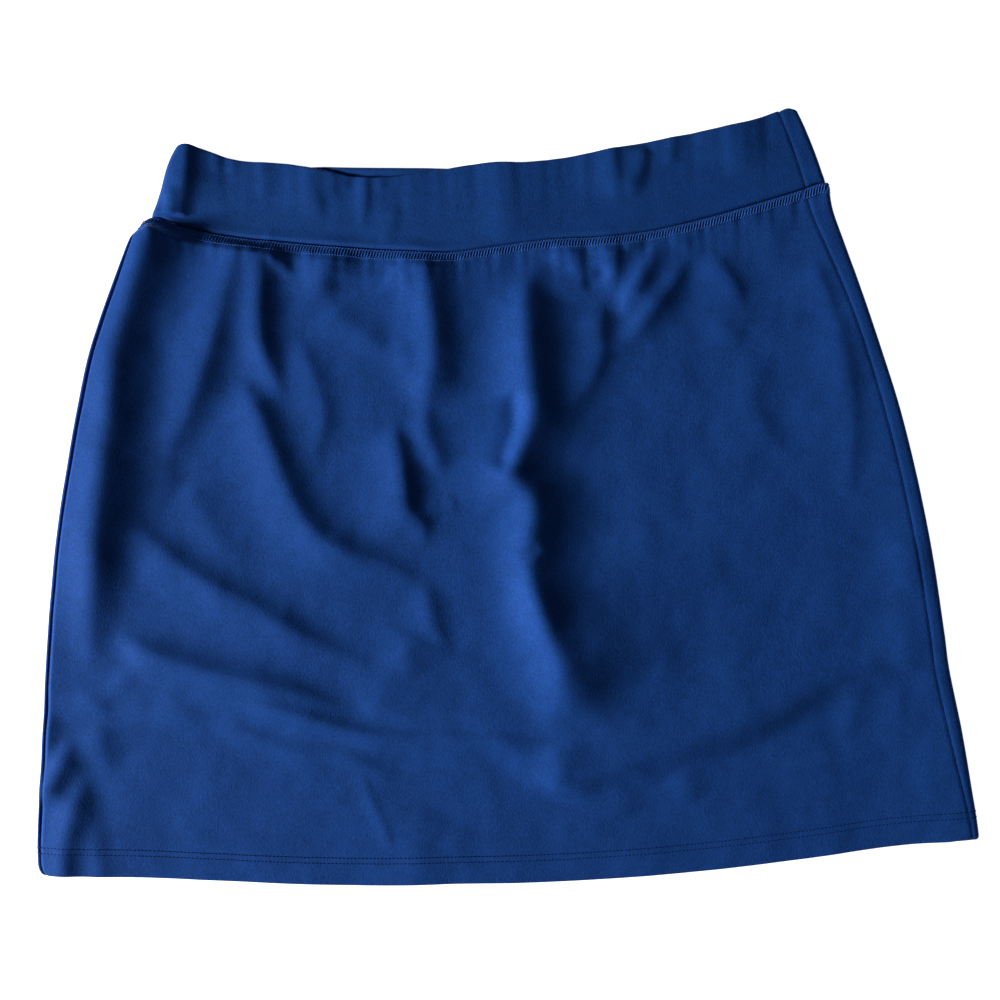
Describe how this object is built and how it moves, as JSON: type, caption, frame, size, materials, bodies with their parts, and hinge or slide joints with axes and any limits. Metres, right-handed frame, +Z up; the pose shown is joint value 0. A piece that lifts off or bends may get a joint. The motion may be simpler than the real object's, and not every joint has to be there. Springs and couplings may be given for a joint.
{
  "type": "golf skort",
  "caption": "Pull-on golf skort laid flat, front up: an A-line skirt on a wide folded waistband, with plain inner shorts.",
  "frame": {"origin": "on the surface it lies on, under the middle of the garment's bounding box", "axes": "+X to the right as the front is seen, +Y from the hem to the waist, +Z up out of the cloth"},
  "size_m": [0.561, 0.4663, 0.009],
  "materials": {
    "skirt_cloth": "navy blue stretch interlock knit, smooth and faintly lustrous",
    "band_cloth": "navy blue stretch interlock knit, folded double and pulled smooth over elastic",
    "shorts_cloth": "navy blue stretch knit, plain"
  },
  "bodies": {
    "root": {"skirt_front": "skirt_cloth", "skirt_back": "skirt_cloth", "waistband_front": "band_cloth", "waistband_back": "band_cloth", "shorts_front_left": "shorts_cloth", "shorts_front_right": "shorts_cloth", "shorts_back_left": "shorts_cloth", "shorts_back_right": "shorts_cloth"}
  },
  "joints": []
}
